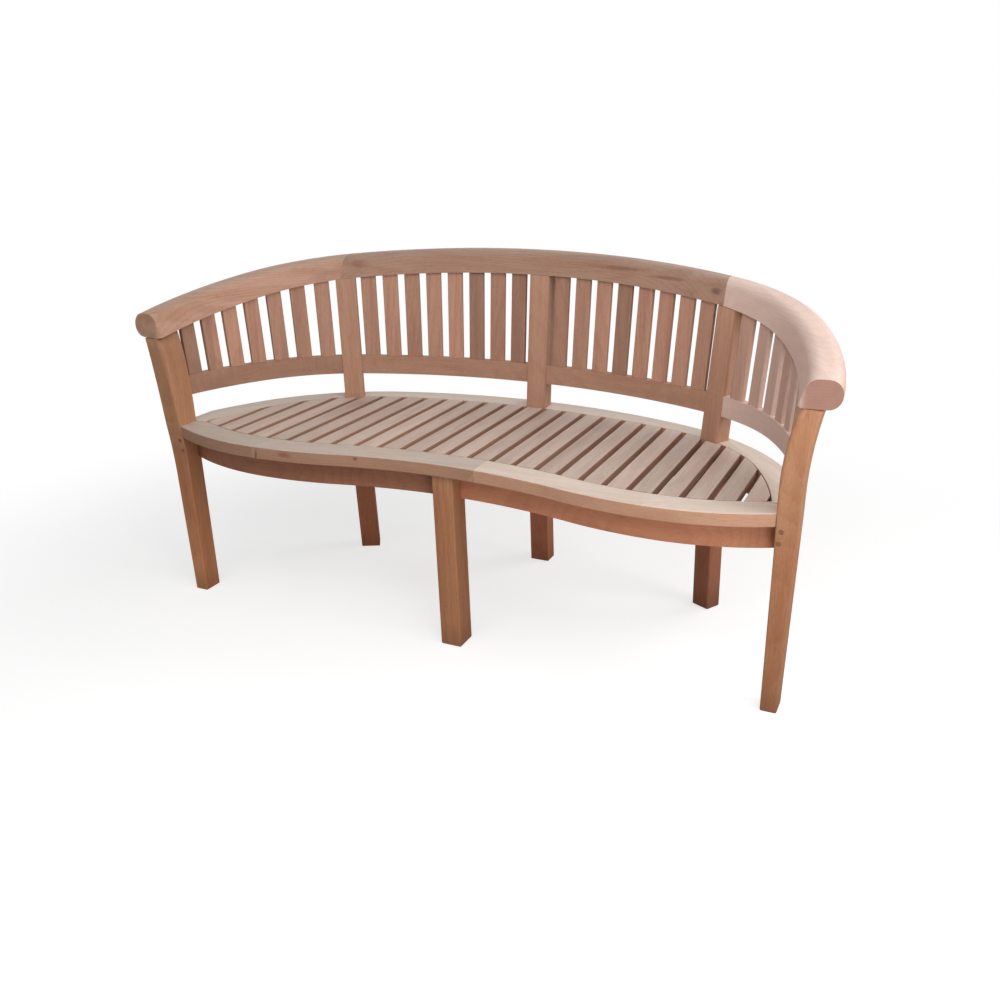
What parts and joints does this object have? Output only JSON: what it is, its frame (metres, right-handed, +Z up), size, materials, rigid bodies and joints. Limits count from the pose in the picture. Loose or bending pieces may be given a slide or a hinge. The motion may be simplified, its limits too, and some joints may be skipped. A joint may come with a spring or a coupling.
{
  "type": "curved garden bench",
  "caption": "Curved teak bench with a wavy front edge, slatted seat, wrap-round slatted back and rolled top rail that runs down into two arms, for patios and porches.",
  "frame": {"origin": "middle of the bench's width and depth, on the floor that its feet stand on", "axes": "+X to the right hand of a viewer who faces the front of the bench, along its length; +Y from the front edge to the back; +Z up"},
  "size_m": [1.5296, 0.6558, 0.8009],
  "materials": {
    "teak_seat_slats": "pale sanded unfinished teak, satin",
    "teak_seat_ring": "pale sanded unfinished teak, satin",
    "teak_back_slats": "sanded unfinished teak, satin",
    "teak_back_frame": "sanded unfinished teak, satin",
    "teak_top_rail": "sanded unfinished teak, satin",
    "teak_legs": "sanded unfinished teak with long grain, satin",
    "teak_aprons": "sanded unfinished teak, satin",
    "teak_under_seat": "sawn unfinished teak, dull",
    "teak_dowels_and_plugs": "sanded unfinished teak end grain"
  },
  "bodies": {
    "root": {"end_leg_left": "teak_legs", "end_leg_right": "teak_legs", "front_centre_leg": "teak_legs", "rear_post_left": "teak_back_frame", "rear_post_centre": "teak_back_frame", "rear_post_right": "teak_back_frame", "top_rail_left_arm": "teak_top_rail", "top_rail_middle": "teak_top_rail", "top_rail_right_arm": "teak_top_rail", "lower_rail_left_end": "teak_back_frame", "lower_rail_left_middle": "teak_back_frame", "lower_rail_right_middle": "teak_back_frame", "lower_rail_right_end": "teak_back_frame", "back_slats_left_end": "teak_back_slats", "back_slats_left_middle": "teak_back_slats", "back_slats_right_middle": "teak_back_slats", "back_slats_right_end": "teak_back_slats", "ring_front_left_end": "teak_seat_ring", "ring_front_left_middle": "teak_seat_ring", "ring_front_right_middle": "teak_seat_ring", "ring_front_right_end": "teak_seat_ring", "ring_rear_left_end": "teak_seat_ring", "ring_rear_left_middle": "teak_seat_ring", "ring_rear_right_middle": "teak_seat_ring", "ring_rear_right_end": "teak_seat_ring", "front_apron_left": "teak_aprons", "front_apron_right": "teak_aprons", "rear_apron_left_end": "teak_aprons", "rear_apron_left_middle": "teak_aprons", "rear_apron_right_middle": "teak_aprons", "rear_apron_right_end": "teak_aprons", "seat_bearers": "teak_under_seat", "seat_batten": "teak_under_seat", "joint_dowels": "teak_dowels_and_plugs", "leg_plugs": "teak_dowels_and_plugs", "seat_slat_01": "teak_seat_slats", "seat_slat_02": "teak_seat_slats", "seat_slat_03": "teak_seat_slats", "seat_slat_04": "teak_seat_slats", "seat_slat_05": "teak_seat_slats", "seat_slat_06": "teak_seat_slats", "seat_slat_07": "teak_seat_slats", "seat_slat_08": "teak_seat_slats", "seat_slat_09": "teak_seat_slats", "seat_slat_10": "teak_seat_slats", "seat_slat_11": "teak_seat_slats", "seat_slat_12": "teak_seat_slats", "seat_slat_13": "teak_seat_slats", "seat_slat_14": "teak_seat_slats", "seat_slat_15": "teak_seat_slats", "seat_slat_16": "teak_seat_slats", "seat_slat_17": "teak_seat_slats", "seat_slat_18": "teak_seat_slats", "seat_slat_19": "teak_seat_slats", "seat_slat_20": "teak_seat_slats", "seat_slat_21": "teak_seat_slats", "seat_slat_22": "teak_seat_slats", "seat_slat_23": "teak_seat_slats", "seat_slat_24": "teak_seat_slats", "seat_slat_25": "teak_seat_slats"}
  },
  "joints": []
}
